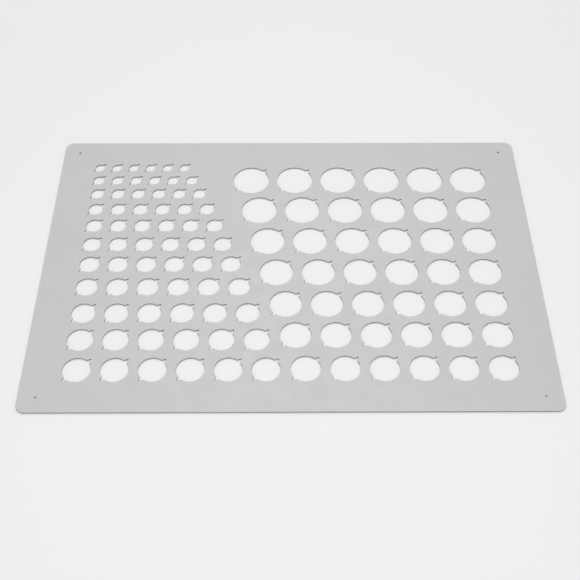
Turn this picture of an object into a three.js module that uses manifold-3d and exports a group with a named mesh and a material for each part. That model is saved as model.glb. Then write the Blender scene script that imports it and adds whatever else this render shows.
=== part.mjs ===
import * as THREE from 'three';
import { mergeVertices } from 'three/addons/utils/BufferGeometryUtils.js';
import Module from 'manifold-3d';

// A quilling board: one thin plastic sheet, cut through with round holes of stepped sizes. A coil of paper
// is let go inside a hole, where it opens to exactly that hole's diameter.
// Millimetres, +Z up. X runs along the rows of holes and Y from the front edge to the back one.
// The origin is on the underside, below the middle of the sheet.

// The sheet
const SHEET_THICKNESS = 1;
const CORNER_RADIUS = 5;
const SIDE_MARGIN = 21.75;
const FRONT_MARGIN = 19.5;
const BACK_MARGIN = 20.5;

// The sizing holes. Each row has one size. The sizes grow from the back of the left block to its front,
// and go on growing from the front of the right block to its back.
const SMALLEST_DIAMETER = 6;
const DIAMETER_STEP = 1;
const HOLES_PER_ROW = 6;

// Material left between neighbours in a row, and between the two blocks where they face each other
const HOLE_GAP = 5;
const BLOCK_GAP = 5.5;

// Material left between one row and the next, from the front row to the back one
const LEFT_ROW_GAPS = [5, 4.5, 6, 5, 4.5, 5, 4.5, 5, 4.5, 5];
const RIGHT_ROW_GAPS = [5.5, 4, 4.5, 4.5, 4.5, 4];

// The two pointed notches of each hole, opposite each other on a slanting line. They show where the hole's
// middle is, and leave room for a needle tip beside the coil.
const NOTCH_DIRECTION = Math.PI / 4;
const NOTCH_DEPTH = 2.5;
const NOTCH_WIDTH = 2.5;

// The pin holes that hold the sheet down, one near each corner
const PIN_HOLE_DIAMETER = 1.5;
const PIN_SIDE_INSET = 10;
const PIN_EDGE_INSET = 9.5;

// Faceting
const LONGEST_FACET = 2.5;
const FEWEST_FACETS = 6;
const PIN_HOLE_SEGMENTS = 12;
const CORNER_SEGMENTS = 6;

// How far a cutter runs past each face of the sheet
const CUT_OVERRUN = 1;

const SHEET_COLOUR = new THREE.Color().setRGB(200 / 255, 202 / 255, 199 / 255, THREE.SRGBColorSpace);
const SHEET_ROUGHNESS = 0.45;

/** The rows of one block, from front to back: each row's diameter, length and height up the sheet. */
function blockRows(diameters, gaps) {
  let rim = FRONT_MARGIN;
  return diameters.map((diameter, index) => {
    const y = rim + diameter / 2;
    rim += diameter + (gaps[index] ?? 0);
    return { diameter, y, length: HOLES_PER_ROW * (diameter + HOLE_GAP) - HOLE_GAP };
  });
}

/** The sheet's size and the centre of every hole, measured from its front left corner. */
function layOut() {
  const leftCount = LEFT_ROW_GAPS.length + 1;
  const rightCount = RIGHT_ROW_GAPS.length + 1;
  const sizes = Array.from(
    { length: leftCount + rightCount },
    (_, step) => SMALLEST_DIAMETER + step * DIAMETER_STEP,
  );
  const leftRows = blockRows(sizes.slice(0, leftCount).reverse(), LEFT_ROW_GAPS);
  const rightRows = blockRows(sizes.slice(leftCount), RIGHT_ROW_GAPS);
  const facing = Math.min(leftCount, rightCount);
  const lengths = leftRows.slice(0, facing).map((row, index) => row.length + rightRows[index].length);
  const width = 2 * SIDE_MARGIN + BLOCK_GAP + Math.max(...lengths);
  const backRims = [...leftRows, ...rightRows].map((row) => row.y + row.diameter / 2);
  const depth = Math.max(...backRims) + BACK_MARGIN;
  const holesOf = (row, start) =>
    Array.from({ length: HOLES_PER_ROW }, (_, index) => ({
      diameter: row.diameter,
      x: start + row.diameter / 2 + index * (row.diameter + HOLE_GAP),
      y: row.y,
    }));
  const holes = [
    ...leftRows.flatMap((row) => holesOf(row, SIDE_MARGIN)),
    ...rightRows.flatMap((row) => holesOf(row, width - SIDE_MARGIN - row.length)),
  ];
  return { width, depth, holes };
}

/** A rectangle with rounded corners, its front left corner at the zero of X and Y. */
function sheetOutline(width, depth) {
  const r = CORNER_RADIUS;
  const outline = new THREE.Shape();
  outline.absarc(width - r, r, r, -Math.PI / 2, 0);
  outline.absarc(width - r, depth - r, r, 0, Math.PI / 2);
  outline.absarc(r, depth - r, r, Math.PI / 2, Math.PI);
  outline.absarc(r, r, r, Math.PI, 1.5 * Math.PI);
  outline.closePath();
  return outline;
}

/** A round hole with two opposite pointed notches, going round its centre from the first notch's tip. */
function notchedCircle({ diameter, x, y }) {
  const radius = diameter / 2;
  const halfMouth = Math.asin(NOTCH_WIDTH / diameter);
  const sweep = Math.PI - 2 * halfMouth;
  const facets = Math.max(FEWEST_FACETS, Math.ceil((radius * sweep) / LONGEST_FACET));
  const pointAt = (angle, reach) =>
    new THREE.Vector2(x + reach * Math.cos(angle), y + reach * Math.sin(angle));
  const outline = [];
  for (const direction of [NOTCH_DIRECTION, NOTCH_DIRECTION + Math.PI]) {
    outline.push(pointAt(direction, radius + NOTCH_DEPTH));
    for (let step = 0; step <= facets; step += 1) {
      outline.push(pointAt(direction + halfMouth + (sweep * step) / facets, radius));
    }
  }
  return new THREE.Shape(outline);
}

/** The four pin holes of a sheet of this size. */
function pinHoles(width, depth) {
  const centres = [PIN_SIDE_INSET, width - PIN_SIDE_INSET].flatMap((x) =>
    [PIN_EDGE_INSET, depth - PIN_EDGE_INSET].map((y) => [x, y]),
  );
  return centres.map(([x, y]) => new THREE.Shape().absarc(x, y, PIN_HOLE_DIAMETER / 2, 0, 2 * Math.PI));
}

/** Extrudes outlines straight up from the height z, with an even number of segments to each arc. */
function extrude(outlines, z, height, arcSegments = 2) {
  const geometry = new THREE.ExtrudeGeometry(outlines, {
    depth: height,
    bevelEnabled: false,
    curveSegments: arcSegments / 2,
  });
  return geometry.translate(0, 0, z);
}

const wasm = await Module();
wasm.setup();

/** A closed geometry as a solid that can be cut. */
function toSolid(geometry) {
  const bare = geometry.clone();
  bare.deleteAttribute('normal');
  bare.deleteAttribute('uv');
  const merged = mergeVertices(bare, 1e-4);
  const mesh = new wasm.Mesh({
    numProp: 3,
    vertProperties: Float32Array.from(merged.getAttribute('position').array),
    triVerts: Uint32Array.from(merged.getIndex().array),
  });
  return new wasm.Manifold(mesh);
}

/** A solid as a geometry with flat faces. */
function toGeometry(solid) {
  const { vertProperties, triVerts } = solid.getMesh();
  const shared = new THREE.BufferGeometry();
  shared.setAttribute('position', new THREE.BufferAttribute(vertProperties, 3));
  shared.setIndex(new THREE.BufferAttribute(triVerts, 1));
  const geometry = shared.toNonIndexed();
  geometry.computeVertexNormals();
  return geometry;
}

/** The sheet with every hole cut through it. */
function cutSheet({ width, depth, holes }) {
  const blank = toSolid(extrude(sheetOutline(width, depth), 0, SHEET_THICKNESS, CORNER_SEGMENTS));
  const cutDepth = SHEET_THICKNESS + 2 * CUT_OVERRUN;
  const sizingCutters = extrude(holes.map(notchedCircle), -CUT_OVERRUN, cutDepth);
  const pinCutters = extrude(pinHoles(width, depth), -CUT_OVERRUN, cutDepth, PIN_HOLE_SEGMENTS);
  const cut = blank.subtract(toSolid(sizingCutters)).subtract(toSolid(pinCutters));
  return toGeometry(cut).translate(-width / 2, -depth / 2, 0);
}

const sheet = new THREE.Mesh(
  cutSheet(layOut()),
  new THREE.MeshStandardMaterial({ color: SHEET_COLOUR, roughness: SHEET_ROUGHNESS, metalness: 0 }),
);
sheet.name = 'sheet';

const board = new THREE.Group();
board.add(sheet);

export default board;
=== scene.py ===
"""A quilling board: one thin plastic sheet, cut through with round holes of stepped sizes.

The sheet's outline and every hole are closed lines in its plane. One edge profile is carried along
them all, and a triangulation fills the two flat faces between them. Metres throughout, in the
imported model's frame: X runs along the rows of holes, Y from the front edge to the back one, Z up.
"""

import logging
from collections.abc import Mapping, Sequence
from dataclasses import dataclass, field
from enum import Enum
from functools import reduce
from math import asin, atan2, ceil, cos, pi, radians, sin
from operator import add
from typing import Any

import bpy
import numpy as np
from mathutils import Euler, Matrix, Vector
from mathutils.geometry import delaunay_2d_cdt

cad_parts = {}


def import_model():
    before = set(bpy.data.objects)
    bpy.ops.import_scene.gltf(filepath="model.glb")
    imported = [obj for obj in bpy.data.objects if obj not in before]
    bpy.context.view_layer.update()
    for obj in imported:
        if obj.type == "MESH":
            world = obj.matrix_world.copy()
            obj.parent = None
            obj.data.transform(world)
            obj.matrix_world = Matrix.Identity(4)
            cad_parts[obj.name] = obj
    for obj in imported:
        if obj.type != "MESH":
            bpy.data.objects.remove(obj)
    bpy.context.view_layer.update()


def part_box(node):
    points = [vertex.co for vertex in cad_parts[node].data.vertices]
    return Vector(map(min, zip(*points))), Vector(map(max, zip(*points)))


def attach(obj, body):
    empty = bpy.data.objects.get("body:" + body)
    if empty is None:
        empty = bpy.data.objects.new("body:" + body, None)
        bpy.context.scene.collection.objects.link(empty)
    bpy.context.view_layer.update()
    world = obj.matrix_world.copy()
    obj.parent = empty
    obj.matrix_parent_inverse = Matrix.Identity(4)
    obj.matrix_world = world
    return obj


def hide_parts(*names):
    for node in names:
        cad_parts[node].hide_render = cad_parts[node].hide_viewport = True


LOG = logging.getLogger("quilling_board")

MM = 0.001

Triple = tuple[float, float, float]
Colour = tuple[float, float, float, float]

# One closed line: its points, (n, 2), and a mark for each that is a sharp corner
Outline = tuple[np.ndarray, np.ndarray]


# Shader maths


class Signal:
    """A number that varies over a surface, on which Python's arithmetic adds Math nodes."""

    def __init__(self, graph: "NodeGraph", socket: bpy.types.NodeSocket) -> None:
        """Keeps the socket and the graph that it belongs to."""
        self.graph = graph
        self.socket = socket

    def _math(self, operation: str, first: "Signal | float", second: "Signal | float") -> "Signal":
        """Adds one Math node and returns its value."""
        made = self.graph.node("ShaderNodeMath", {"operation": operation}, {0: first, 1: second})
        return Signal(self.graph, made.outputs[0])

    def __add__(self, other: "Signal | float") -> "Signal":
        """This value plus another."""
        return self._math("ADD", self, other)

    __radd__ = __add__

    def __sub__(self, other: "Signal | float") -> "Signal":
        """This value less another."""
        return self._math("SUBTRACT", self, other)

    def __rsub__(self, other: float) -> "Signal":
        """A plain number less this value."""
        return self._math("SUBTRACT", other, self)

    def __mul__(self, other: "Signal | float") -> "Signal":
        """This value times another."""
        return self._math("MULTIPLY", self, other)

    __rmul__ = __mul__

    def between(self, low: float, high: float) -> "Signal":
        """Goes smoothly from 0 to 1 as this value goes from one number to another.

        Args:
            low: The number at which the result is 0.
            high: The number at which it is 1, which may be the lower of the two.

        Returns:
            The result, which stays at 0 and at 1 outside them.
        """
        limits = {"From Min": low, "From Max": high, "Value": self}
        smooth = {"interpolation_type": "SMOOTHSTEP"}
        made = self.graph.node("ShaderNodeMapRange", smooth, limits)
        return Signal(self.graph, made.outputs[0])


class NodeGraph:
    """The node tree of one material or world."""

    # The colour sockets of a Mix node, whose names its number and vector sockets have too
    MIX_FIRST = 6
    MIX_SECOND = 7
    MIX_RESULT = 2

    def __init__(self, tree: bpy.types.NodeTree) -> None:
        """Starts from an empty tree."""
        self.tree = tree
        tree.nodes.clear()

    def node(
        self,
        kind: str,
        settings: Mapping[str, Any] | None = None,
        inputs: Mapping[str | int, Any] | None = None,
    ) -> bpy.types.Node:
        """Adds one node.

        Args:
            kind: The node's type.
            settings: Its own settings, set before its sockets.
            inputs: A value, a signal or a socket to link, by the input's name or place.

        Returns:
            The node.
        """
        made = self.tree.nodes.new(kind)
        for name, setting in (settings or {}).items():
            setattr(made, name, setting)
        for place, given in (inputs or {}).items():
            source = given.socket if isinstance(given, Signal) else given
            if isinstance(source, bpy.types.NodeSocket):
                self.tree.links.new(source, made.inputs[place])
            else:
                made.inputs[place].default_value = source
        return made

    def attribute(self, name: str) -> Signal:
        """The mesh attribute of this name."""
        made = self.node("ShaderNodeAttribute", {"attribute_name": name})
        return Signal(self, made.outputs["Fac"])

    def place(self, stretch: Sequence[float], turn: float = 0.0) -> bpy.types.NodeSocket:
        """Object coordinates, turned about the upright axis and then stretched.

        Args:
            stretch: How many pattern units there are to a metre along each axis.
            turn: The turn about Z, in radians.

        Returns:
            The vector socket.
        """
        source = self.node("ShaderNodeTexCoord").outputs["Object"]
        turned = self.node(
            "ShaderNodeMapping",
            {"vector_type": "POINT"},
            {"Vector": source, "Rotation": (0.0, 0.0, turn)},
        )
        stretched = self.node(
            "ShaderNodeVectorMath",
            {"operation": "MULTIPLY"},
            {0: turned.outputs[0], 1: tuple(stretch)},
        )
        return stretched.outputs[0]

    def noise(
        self,
        stretch: Sequence[float],
        detail: float = 2.0,
        roughness: float = 0.5,
        distortion: float = 0.0,
        turn: float = 0.0,
    ) -> Signal:
        """Smooth noise from 0 to 1 about a middle of 0.5, on object coordinates.

        Args:
            stretch: How many of the noise's humps there are to a metre along each axis.
            detail: How many finer layers it has.
            roughness: How strong the finer layers are.
            distortion: How far its shapes are pulled about.
            turn: The turn about Z, in radians.

        Returns:
            The noise.
        """
        made = self.node(
            "ShaderNodeTexNoise",
            {"noise_dimensions": "3D"},
            {
                "Vector": self.place(stretch, turn),
                "Scale": 1.0,
                "Detail": detail,
                "Roughness": roughness,
                "Distortion": distortion,
            },
        )
        return Signal(self, made.outputs[0])

    def specks(self, spacing: float, radius: float, core: float = 0.5) -> Signal:
        """Small round dots, 1 inside and 0 outside, one near the middle of each random cell.

        Args:
            spacing: About how far apart the dots are, in metres.
            radius: The radius of a dot, in metres.
            core: The share of the radius inside which a dot is full.

        Returns:
            The dots.
        """
        made = self.node(
            "ShaderNodeTexVoronoi",
            {"voronoi_dimensions": "2D", "feature": "F1"},
            {"Vector": self.place(alike(1.0 / spacing)), "Scale": 1.0},
        )
        reach = radius / spacing
        return Signal(self, made.outputs["Distance"]).between(reach, core * reach)

    def mix(
        self,
        factor: Signal | float,
        first: Sequence[float] | bpy.types.NodeSocket,
        second: Sequence[float] | bpy.types.NodeSocket,
    ) -> bpy.types.NodeSocket:
        """Blends two colours.

        Args:
            factor: The share of the second colour.
            first: A colour, or the socket of one.
            second: Another.

        Returns:
            The blend's socket.
        """
        inputs = {0: factor, self.MIX_FIRST: first, self.MIX_SECOND: second}
        made = self.node("ShaderNodeMix", {"data_type": "RGBA"}, inputs)
        return made.outputs[self.MIX_RESULT]

    def seen(self) -> Signal:
        """Tells what the camera sees from what lights the scene.

        Returns:
            1 where the camera looks, in a reflection or through glass too, and 0 for lighting.
        """
        rays = self.node("ShaderNodeLightPath")
        names = ("Is Camera Ray", "Is Glossy Ray", "Is Transmission Ray")
        direct, mirrored, through = (Signal(self, rays.outputs[name]) for name in names)
        return (direct + mirrored + through).between(0.0, 1.0)


def alike(value: float) -> Triple:
    """The same number along all three axes."""
    return (value, value, value)


def linear(red: int, green: int, blue: int) -> Colour:
    """A colour as scene-linear values, by the sRGB curve: a straight foot, then a power of 2.4.

    Args:
        red: The sRGB red, 0 to 255.
        green: The green.
        blue: The blue.

    Returns:
        The colour, opaque.
    """
    shares = np.array((red, green, blue)) / 255
    foot = shares / 12.92
    curve = ((shares + 0.055) / 1.055) ** 2.4
    return (*np.where(shares <= 0.04045, foot, curve).tolist(), 1.0)


# Finishes


@dataclass(frozen=True)
class Unevenness:
    """Smooth noise of one size, which fades in between two of its own values.

    The humps are counted to a metre along each axis.
    """

    humps: Triple
    low: float = 0.3
    high: float = 0.7
    detail: float = 2.0
    roughness: float = 0.5
    distortion: float = 0.0

    def noise(self, graph: NodeGraph) -> Signal:
        """The noise itself, from 0 to 1."""
        return graph.noise(self.humps, self.detail, self.roughness, self.distortion)

    def shown(self, noise: Signal) -> Signal:
        """How much of the noise shows: none at the low value and all of it at the high one."""
        return noise.between(self.low, self.high)


@dataclass(frozen=True)
class RubMarks:
    """Hair-fine marks that run in one direction, broken into short lengths by wider patches.

    The turn is in radians, and the noise's humps are counted to a metre along and across the marks.
    """

    turn: float
    along: float
    across: float
    hair_limits: tuple[float, float] = (0.66, 0.74)
    patch_humps: float = 30.0
    patch_limits: tuple[float, float] = (0.48, 0.62)
    detail: float = 1.0

    def marks(self, graph: NodeGraph) -> Signal:
        """The marks, where a hair runs through a patch.

        Args:
            graph: The material's nodes.

        Returns:
            1 on a mark and 0 beside it.
        """
        stretch = (self.along, self.across, self.along)
        hairs = graph.noise(stretch, detail=self.detail, turn=self.turn)
        patches = graph.noise(alike(self.patch_humps), detail=self.detail, turn=self.turn)
        return hairs.between(*self.hair_limits) * patches.between(*self.patch_limits)


@dataclass(frozen=True)
class SheetPlastic:
    """Opaque matt plastic: fine rolled grain, cloudy tone, faint marks of use, and cut walls a
    little duller than the face, with painted shade making them darker still.
    """

    face: Colour = linear(205, 207, 204)
    clouded: Colour = linear(199, 201, 198)
    rubbed: Colour = linear(224, 226, 224)
    # The cut walls' colour: a little duller than the face, as a real cut edge is, and darker still
    # as painted shade for walls turned away from the lamps.
    dull_cut_and_painted_shade: Colour = linear(148, 151, 151)
    speck: Colour = linear(120, 119, 112)
    ior: float = 1.49

    clouds: Unevenness = Unevenness(alike(18), high=0.75, detail=3.0, distortion=0.6)
    mottle: Unevenness = Unevenness(alike(520), detail=3.0, roughness=0.6)
    grain: Unevenness = Unevenness(alike(1 / (0.35 * MM)))
    smudges: Unevenness = Unevenness(alike(48), low=0.35, high=0.65, distortion=1.4)
    wear: Unevenness = Unevenness(alike(150), low=0.25)
    saw: Unevenness = Unevenness((2600, 2600, 260))
    rubs: tuple[RubMarks, ...] = (
        RubMarks(turn=0.35, along=26, across=3800),
        RubMarks(turn=-0.9, along=34, across=4300),
        RubMarks(turn=1.35, along=22, across=3500),
        RubMarks(turn=-0.25, along=40, across=4700),
    )
    speck_spacing: float = 70 * MM
    speck_radius: float = 0.22 * MM

    # How far each takes the face's colour to the clouded one
    cloud_tone: float = 0.3
    mottle_tone: float = 0.25
    grain_tone: float = 0.45

    # How far wear and rub marks take it to the rubbed colour, specks to their own, and the saw's
    # marks the cut wall's colour to the face's
    wear_tone: float = 0.7
    rub_tone: float = 0.4
    speck_tone: float = 0.35
    saw_tone: float = 0.4

    # The roughness, and how much of it each adds or takes away
    roughness: float = 0.48
    smudge_roughness: float = 0.1
    mottle_roughness: float = 0.08
    rub_gloss: float = 0.1
    cut_roughness: float = 0.12

    # The height of the grain, and how high the others stand or how deep they go against it
    grain_height: float = 0.012 * MM
    mottle_rise: float = 0.4
    saw_rise: float = 1.2
    rub_depth: float = 0.5

    def material(self) -> bpy.types.Material:
        """Makes the material, which reads the attributes cut_wall and rim of the piece.

        Returns:
            The material.
        """
        made = bpy.data.materials.new("matt_sheet_plastic")
        made.use_nodes = True
        graph = NodeGraph(made.node_tree)
        cut_wall = graph.attribute("cut_wall")
        flat = 1 - cut_wall

        clouds = self.clouds.noise(graph)
        mottle = self.mottle.noise(graph)
        grain = self.grain.noise(graph)
        smudges = self.smudges.noise(graph)
        saw = self.saw.noise(graph)
        rubs = reduce(add, (rub.marks(graph) for rub in self.rubs)).between(0.0, 1.0) * flat
        specks = graph.specks(self.speck_spacing, self.speck_radius) * flat
        wear = graph.attribute("rim") * self.wear.shown(self.wear.noise(graph))

        tone = (
            self.clouds.shown(clouds) * self.cloud_tone
            + self.mottle.shown(mottle) * self.mottle_tone
            + self.grain.shown(grain) * self.grain_tone
        )
        colour = graph.mix(tone, self.face, self.clouded)
        colour = graph.mix(wear * self.wear_tone + rubs * self.rub_tone, colour, self.rubbed)
        colour = graph.mix(specks * self.speck_tone, colour, self.speck)
        # The cut walls take the cut colour, which carries painted shade, streaked towards the
        # face's colour by the saw's marks.
        walls = graph.mix(self.saw.shown(saw) * self.saw_tone, self.dull_cut_and_painted_shade, self.face)
        colour = graph.mix(cut_wall, colour, walls)

        middle = 0.5
        roughness = (
            self.roughness
            + (self.smudges.shown(smudges) - middle) * self.smudge_roughness
            + (mottle - middle) * self.mottle_roughness
            - rubs * self.rub_gloss
            + cut_wall * self.cut_roughness
        )
        height = (
            grain * flat
            + mottle * flat * self.mottle_rise
            + saw * cut_wall * self.saw_rise
            - rubs * self.rub_depth
        )
        bump = {"Strength": 1.0, "Distance": self.grain_height, "Height": height}
        relief = graph.node("ShaderNodeBump", None, bump)
        shader = graph.node(
            "ShaderNodeBsdfPrincipled",
            None,
            {
                "Base Color": colour,
                "Roughness": roughness,
                "IOR": self.ior,
                "Normal": relief.outputs[0],
            },
        )
        graph.node("ShaderNodeOutputMaterial", None, {"Surface": shader.outputs[0]})
        return made


@dataclass(frozen=True)
class PaleFloor:
    """A plain pale matt floor, which takes the board's shadow and fades into the backdrop.

    The fade runs between two distances from the middle of the board.
    """

    colour: Colour = linear(250, 250, 249)
    roughness: float = 0.9
    gloss: float = 0.1
    fade_start: float = 0.22
    fade_end: float = 0.6

    def material(self, backdrop: Colour) -> bpy.types.Material:
        """Makes the material.

        Args:
            backdrop: The colour that the floor fades into.

        Returns:
            The material.
        """
        made = bpy.data.materials.new("pale_floor")
        made.use_nodes = True
        graph = NodeGraph(made.node_tree)
        finish = {
            "Base Color": self.colour,
            "Roughness": self.roughness,
            "Specular IOR Level": self.gloss,
        }
        lit = graph.node("ShaderNodeBsdfPrincipled", None, finish)
        far = graph.node("ShaderNodeEmission", None, {"Color": backdrop, "Strength": 1.0})
        from_middle = {0: graph.place(alike(1.0))}
        length = graph.node("ShaderNodeVectorMath", {"operation": "LENGTH"}, from_middle)
        away = Signal(graph, length.outputs["Value"])
        fade = away.between(self.fade_start, self.fade_end) * graph.seen()
        both = {0: fade, 1: lit.outputs[0], 2: far.outputs[0]}
        shown = graph.node("ShaderNodeMixShader", None, both)
        graph.node("ShaderNodeOutputMaterial", None, {"Surface": shown.outputs[0]})
        return made


# The sheet


class Block(Enum):
    """The two blocks of rows, named for the side margin that their rows keep to."""

    LEFT = "left"
    RIGHT = "right"


@dataclass(frozen=True)
class Loops:
    """Closed lines in the sheet's plane, end to end in one array.

    Each has the material on its left. The points are (n, 2). The array after holds the place of the
    next point on the same line, line holds each point's line number, and corner marks the points
    where the line has a sharp corner.
    """

    points: np.ndarray
    after: np.ndarray
    line: np.ndarray
    corner: np.ndarray

    @classmethod
    def joined(cls, outlines: Sequence[Outline]) -> "Loops":
        """Puts single lines end to end.

        Args:
            outlines: The lines.

        Returns:
            All of them.
        """
        counts = np.array([len(points) for points, _ in outlines])
        line = np.repeat(np.arange(len(outlines)), counts)
        starts = np.cumsum(counts) - counts
        after = np.arange(counts.sum()) + 1
        after[starts + counts - 1] = starts
        points = np.concatenate([points for points, _ in outlines])
        return cls(points, after, line, np.concatenate([corner for _, corner in outlines]))

    def mitres(self) -> np.ndarray:
        """How each point moves for the line to move one unit into the material.

        A point's mitre is the sum of the left normals of the two edges that meet there, divided by
        one plus their dot product, so both edges move by one unit.

        Returns:
            The moves, (n, 2).
        """
        edge = self.points[self.after] - self.points
        edge /= np.linalg.norm(edge, axis=1, keepdims=True)
        leaving = np.stack([-edge[:, 1], edge[:, 0]], axis=1)
        arriving = np.empty_like(leaving)
        arriving[self.after] = leaving
        return (leaving + arriving) / (1 + np.sum(leaving * arriving, axis=1, keepdims=True))


@dataclass(frozen=True)
class EdgeProfile:
    """The section of every edge of the sheet: an upright cut wall between two broken arrises.

    A narrow band of the flat face beside each arris belongs to it too, where the wear fades out.
    """

    rounding: float = 0.1 * MM
    rounding_steps: int = 3
    worn_band: float = 0.45 * MM

    def section(self, thickness: float) -> tuple[np.ndarray, np.ndarray]:
        """The profile from the top face down round the wall to the underside.

        Each arris is a quarter circle: its inset from the wall is r (1 - sin t) and its drop from
        the face is r (1 - cos t), as t goes from 0 to a right angle. The lower half mirrors the
        upper one.

        Args:
            thickness: The sheet's thickness.

        Returns:
            The inset from the wall and the height above the underside, of each point.
        """
        t = np.linspace(0, pi / 2, self.rounding_steps + 1)
        inset = np.append(self.worn_band, self.rounding * (1 - np.sin(t)))
        height = np.append(thickness, thickness - self.rounding * (1 - np.cos(t)))
        return np.append(inset, inset[::-1]), np.append(height, thickness - height[::-1])


@dataclass(frozen=True)
class SizingHole:
    """The form that all sizing holes share: a circle with two opposite pointed notches.

    The flank places are the points that each straight flank has, as shares of its length.
    """

    notch_direction: float = pi / 4
    notch_depth: float = 2.5 * MM
    notch_width: float = 2.5 * MM
    tip_radius: float = 0.1 * MM
    facet: float = 0.65 * MM
    tip_facets: int = 5
    flank_places: tuple[float, ...] = (0.12, 0.88)

    def outline(self, diameter: float) -> Outline:
        """One hole's line, clockwise about its centre.

        Half of the line is an arc of the hole's radius, from the mouth of one notch to the mouth of
        the other, then that notch: a straight flank, a small arc round its tip, the other flank.
        The second half is the first one turned by half a turn. The mouths are sharp corners.

        Args:
            diameter: The hole's diameter.

        Returns:
            The line.
        """
        radius = diameter / 2
        half_mouth = asin(self.notch_width / diameter)
        mouth = np.array([radius * cos(half_mouth), radius * sin(half_mouth)])
        reach = radius + self.notch_depth
        slope = atan2(mouth[1], reach - mouth[0])
        steps = ceil(radius * (pi - 2 * half_mouth) / self.facet)
        angle = np.linspace(-half_mouth, half_mouth - pi, steps + 1)
        arc = radius * np.stack([np.cos(angle), np.sin(angle)], axis=1)

        turn = np.linspace(pi / 2 - slope, slope - pi / 2, self.tip_facets + 1)
        middle = reach - self.tip_radius / sin(slope)
        tip = self.tip_radius * np.stack([np.cos(turn), np.sin(turn)], axis=1) + (middle, 0)
        share = np.array(self.flank_places)[:, None]
        flank = mouth + share * (tip[0] - mouth)
        notch = np.concatenate([flank, tip, (flank * (1, -1))[::-1]])

        points = np.concatenate([arc, -notch, -arc, notch])
        along = np.array([cos(self.notch_direction), sin(self.notch_direction)])
        across = np.array([-along[1], along[0]])
        corner = np.zeros(len(points), bool)
        half = len(arc) + len(notch)
        corner[[0, steps, half, half + steps]] = True
        return points @ np.stack([along, across]), corner


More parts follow.
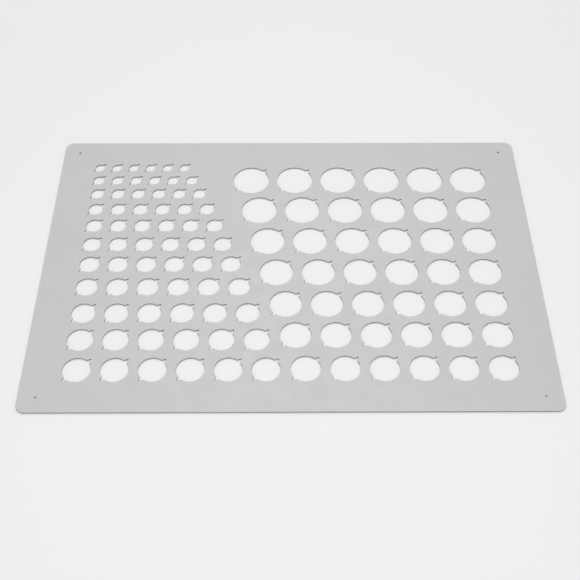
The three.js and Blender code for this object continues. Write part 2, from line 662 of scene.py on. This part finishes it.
@dataclass
class SizingSheet:
    """The board's one piece: the sheet with its rows of sizing holes and its four pin holes.

    The row gaps go from the front row to the back one.
    """

    name: str = "notched_plastic_sheet"
    corner_radius: float = 5 * MM
    corner_steps: int = 12
    side_margin: float = 21.75 * MM
    front_margin: float = 19.5 * MM
    smallest_diameter: float = 6 * MM
    diameter_step: float = 1 * MM
    holes_per_row: int = 6
    hole_gap: float = 5 * MM
    left_row_gaps_mm: tuple[float, ...] = (5, 4.5, 6, 5, 4.5, 5, 4.5, 5, 4.5, 5)
    right_row_gaps_mm: tuple[float, ...] = (5.5, 4, 4.5, 4.5, 4.5, 4)
    pin_hole_diameter: float = 1.5 * MM
    pin_hole_steps: int = 24
    pin_side_inset: float = 10 * MM
    pin_edge_inset: float = 9.5 * MM
    merge_distance: float = 1e-9
    hole: SizingHole = field(default_factory=SizingHole)
    edge: EdgeProfile = field(default_factory=EdgeProfile)
    plastic: SheetPlastic = field(default_factory=SheetPlastic)

    def build(self, low: Vector, high: Vector) -> bpy.types.Object:
        """Makes the sheet inside the box of its node.

        Args:
            low: The lowest corner of the node's box.
            high: Its highest corner.

        Returns:
            The dressed piece, its place in its mesh.
        """
        loops = self._cut_lines(low, high)
        made = self._mesh(loops, high.z - low.z, low.z)
        made.materials.append(self.plastic.material())
        piece = bpy.data.objects.new(self.name, made)
        bpy.context.scene.collection.objects.link(piece)
        return piece

    def _cut_lines(self, low: Vector, high: Vector) -> Loops:
        """The sheet's outline, every sizing hole and the pin holes.

        Args:
            low: The lowest corner of the sheet's box.
            high: Its highest corner.

        Returns:
            The lines, in the frame's coordinates.
        """
        outlines = [self._sheet_outline(low, high)]
        for block in Block:
            outlines += self._block_outlines(block, low, high)
        outlines += self._pin_outlines(low, high)
        return Loops.joined(outlines)

    def _sheet_outline(self, low: Vector, high: Vector) -> Outline:
        """The rounded rectangle: a quarter circle about a centre inset from both sides, four times.

        Args:
            low: The lowest corner of the sheet's box.
            high: Its highest corner.

        Returns:
            The line, anticlockwise.
        """
        r = self.corner_radius
        right, left, back, front = high.x - r, low.x + r, high.y - r, low.y + r
        centres = np.array([(right, front), (right, back), (left, back), (left, front)])
        quarter = np.linspace(0, pi / 2, self.corner_steps + 1)
        angle = quarter + np.arange(-1, 3)[:, None] * pi / 2
        arcs = centres[:, None] + r * np.stack([np.cos(angle), np.sin(angle)], axis=-1)
        points = arcs.reshape(-1, 2)
        return points, np.zeros(len(points), bool)

    def _block_outlines(self, block: Block, low: Vector, high: Vector) -> list[Outline]:
        """The holes of one block, row by row from the front.

        A row's holes stand a diameter and a gap apart. The left block's rows start at the left
        margin and shrink towards the back, and the right block's rows end at the right margin and
        grow.

        Args:
            block: Which of the two blocks.
            low: The lowest corner of the sheet's box.
            high: Its highest corner.

        Returns:
            The lines of its holes.
        """
        is_left = block is Block.LEFT
        left_rows = len(self.left_row_gaps_mm) + 1
        all_rows = left_rows + len(self.right_row_gaps_mm) + 1
        steps = reversed(range(left_rows)) if is_left else range(left_rows, all_rows)
        gaps = self.left_row_gaps_mm if is_left else self.right_row_gaps_mm
        outlines = []
        rim = low.y + self.front_margin
        for step, gap in zip(steps, (*gaps, 0.0), strict=True):
            diameter = self.smallest_diameter + step * self.diameter_step
            pitch = diameter + self.hole_gap
            length = self.holes_per_row * pitch - self.hole_gap
            start = low.x + self.side_margin if is_left else high.x - self.side_margin - length
            points, corner = self.hole.outline(diameter)
            for index in range(self.holes_per_row):
                centre = (start + diameter / 2 + index * pitch, rim + diameter / 2)
                outlines.append((points + centre, corner))
            rim += diameter + gap * MM
        return outlines

    def _pin_outlines(self, low: Vector, high: Vector) -> list[Outline]:
        """The four pin holes, each a circle near a corner.

        Args:
            low: The lowest corner of the sheet's box.
            high: Its highest corner.

        Returns:
            The lines, clockwise about their centres.
        """
        angle = np.linspace(0, -2 * pi, self.pin_hole_steps, endpoint=False)
        circle = self.pin_hole_diameter / 2 * np.stack([np.cos(angle), np.sin(angle)], axis=1)
        smooth = np.zeros(len(circle), bool)
        across = (low.x + self.pin_side_inset, high.x - self.pin_side_inset)
        along = (low.y + self.pin_edge_inset, high.y - self.pin_edge_inset)
        return [(circle + (x, y), smooth) for x in across for y in along]

    def _mesh(self, loops: Loops, thickness: float, floor: float) -> bpy.types.Mesh:
        """Carries the edge profile along the lines and fills the two faces.

        The vertices are a grid of profile point by line point: the line's point moved into the
        material by the profile's inset times the point's mitre, at the profile's height.

        Args:
            loops: The lines.
            thickness: The sheet's thickness.
            floor: The height of its underside.

        Returns:
            The closed mesh, marked for its shading and its finish.
        """
        inset, height = self.edge.section(thickness)
        rings, count = len(inset), len(loops.points)
        plan = loops.points + inset[:, None, None] * loops.mitres()
        level = np.broadcast_to((floor + height)[:, None, None], (rings, count, 1))
        vertices = np.concatenate([plan, level], axis=2).reshape(-1, 3)

        here = np.arange(count)
        upper = count * np.arange(rings - 1)[:, None]
        lower = upper + count
        corners = [upper + here, lower + here, lower + loops.after, upper + loops.after]
        quads = np.stack(corners, axis=-1).reshape(-1, 4)
        top = self._face_triangles(plan[0], loops)
        bottom = top[:, ::-1] + count * (rings - 1)

        made = bpy.data.meshes.new(self.name)
        faces = [*quads.tolist(), *top.tolist(), *bottom.tolist()]
        made.from_pydata(vertices.tolist(), [], faces)
        made.polygons.foreach_set("use_smooth", np.ones(len(made.polygons), bool))
        self._mark(made, loops, inset)
        made.validate()
        return made

    def _mark(self, made: bpy.types.Mesh, loops: Loops, inset: np.ndarray) -> None:
        """Marks the sharp edges, the cut walls and the rims that wear.

        A vertex's number is its profile point times the number of line points, plus its line point,
        so an edge across the rings joins two vertices of one line point. The faces begin with a
        ring of quads for each step of the profile, and the first and last of these rings are the
        bands of the flat faces.

        Args:
            made: The mesh.
            loops: The lines that it was made from.
            inset: The inset of each profile point.
        """
        count = len(loops.points)
        pair = np.empty(len(made.edges) * 2, np.int32)
        made.edges.foreach_get("vertices", pair)
        first, second = pair.reshape(-1, 2).T % count
        sharp = (first == second) & loops.corner[first]
        on_wall = np.zeros(len(made.polygons), np.float32)
        on_wall[count : count * (len(inset) - 2)] = 1.0
        worn = np.repeat((inset <= self.edge.rounding).astype(np.float32), count)
        for name, kind, domain, values in (
            ("sharp_edge", "BOOLEAN", "EDGE", sharp),
            ("cut_wall", "FLOAT", "FACE", on_wall),
            ("rim", "FLOAT", "POINT", worn),
        ):
            made.attributes.new(name, kind, domain).data.foreach_set("value", values)

    def _face_triangles(self, plan: np.ndarray, loops: Loops) -> np.ndarray:
        """Fills the flat face between the lines.

        A triangulation that keeps every line's edges covers the whole sheet, its holes too. A
        triangle lies in a hole if its corners are all on one line and, taken in that line's order,
        run clockwise.

        Args:
            plan: The face's rim points, (n, 2).
            loops: The lines that they lie on.

        Returns:
            The triangles of the material, (m, 3), anticlockwise.
        """
        edges = np.stack([np.arange(len(plan)), loops.after], axis=1).tolist()
        points = [Vector(pair) for pair in plan.tolist()]
        fill_all = 0
        filled = delaunay_2d_cdt(points, edges, [], fill_all, self.merge_distance)
        _, _, faces, origins, _, _ = filled
        source = np.array([origin[0] for origin in origins])
        triangles = source[np.array(faces)]
        in_order = np.sort(triangles, axis=1)
        a, b, c = plan[in_order].transpose(1, 0, 2)
        (ux, uy), (vx, vy) = (b - a).T, (c - a).T
        one_line = np.ptp(loops.line[triangles], axis=1) == 0
        return triangles[~(one_line & (ux * vy - uy * vx < 0))]


# The studio


@dataclass(frozen=True)
class SoftLamp:
    """A square soft light that faces a point on the floor."""

    name: str
    place: Triple
    aim: Triple
    side: float
    watts: float

    def build(self) -> None:
        """Adds the lamp."""
        lamp = bpy.data.lights.new(self.name, "AREA")
        lamp.shape = "SQUARE"
        lamp.size = self.side
        lamp.energy = self.watts
        made = bpy.data.objects.new(self.name, lamp)
        made.location = self.place
        ray = Vector(self.aim) - Vector(self.place)
        made.rotation_euler = ray.to_track_quat("-Z", "Y").to_euler()
        bpy.context.scene.collection.objects.link(made)


@dataclass(frozen=True)
class PhotoCamera:
    """The camera that the photograph was taken from, for a square frame.

    The angles are in degrees, and the focal length and the sensor's width in millimetres.
    """

    place: Triple = (-0.00339, -0.3844, 0.45335)
    tilt: float = 38.759
    roll: float = -0.155
    turn: float = -0.308
    focal_length: float = 61.092
    sensor: float = 36.0
    nearest: float = 0.01

    def build(self) -> None:
        """Adds the camera and makes it the scene's own."""
        lens = bpy.data.cameras.new("photo_camera")
        lens.lens = self.focal_length
        lens.sensor_width = self.sensor
        lens.clip_start = self.nearest
        made = bpy.data.objects.new("photo_camera", lens)
        made.location = self.place
        angles = (radians(self.tilt), radians(self.roll), radians(self.turn))
        made.rotation_euler = Euler(angles, "XYZ")
        bpy.context.scene.collection.objects.link(made)
        bpy.context.scene.camera = made


@dataclass
class Studio:
    """The pale floor, the soft lamps, the even light all round and the camera."""

    floor_side: float = 8.0
    floor_drop: float = 0.02 * MM
    daylight: float = 0.52
    backdrop: Colour = linear(240, 240, 239)
    floor: PaleFloor = field(default_factory=PaleFloor)
    camera: PhotoCamera = field(default_factory=PhotoCamera)
    lamps: tuple[SoftLamp, ...] = (
        SoftLamp("back_softbox", (0.0, 0.75, 1.15), aim=(0.0, 0.0, 0.0), side=0.5, watts=3.7),
        SoftLamp("top_softbox", (0.0, -0.25, 0.75), aim=(0.0, -0.03, 0.0), side=0.4, watts=1.7),
    )

    def build(self) -> None:
        """Sets up the studio round the finished board."""
        self.camera.build()
        for lamp in self.lamps:
            lamp.build()
        self._lay_floor()
        self._light_world()
        bpy.context.scene.view_settings.view_transform = "Standard"

    def _lay_floor(self) -> None:
        """A flat square just under the sheet's underside."""
        half = self.floor_side / 2
        signs = np.array([(-1, -1), (1, -1), (1, 1), (-1, 1)])
        corners = np.column_stack([signs * half, np.full(4, -self.floor_drop)])
        mesh = bpy.data.meshes.new("pale_floor")
        mesh.from_pydata(corners.tolist(), [], [(0, 1, 2, 3)])
        mesh.materials.append(self.floor.material(self.backdrop))
        made = bpy.data.objects.new("pale_floor", mesh)
        bpy.context.scene.collection.objects.link(made)

    def _light_world(self) -> None:
        """Even light from all round, which the camera and reflections see as a pale backdrop."""
        world = bpy.data.worlds.new("soft_studio")
        world.use_nodes = True
        graph = NodeGraph(world.node_tree)
        white = {"Color": (1, 1, 1, 1), "Strength": self.daylight}
        light = graph.node("ShaderNodeBackground", None, white)
        pale = {"Color": self.backdrop, "Strength": 1.0}
        backdrop = graph.node("ShaderNodeBackground", None, pale)
        both = {0: graph.seen(), 1: light.outputs[0], 2: backdrop.outputs[0]}
        shown = graph.node("ShaderNodeMixShader", None, both)
        graph.node("ShaderNodeOutputWorld", None, {"Surface": shown.outputs[0]})
        bpy.context.scene.world = world


def main() -> None:
    """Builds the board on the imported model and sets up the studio."""
    logging.basicConfig(level=logging.INFO, format="%(message)s")
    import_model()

    piece = SizingSheet().build(*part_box("sheet"))
    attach(piece, "root")
    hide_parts("sheet")
    mesh = piece.data
    LOG.info("%s: %d vertices, %d faces", piece.name, len(mesh.vertices), len(mesh.polygons))

    Studio().build()


if __name__ == "__main__":
    main()
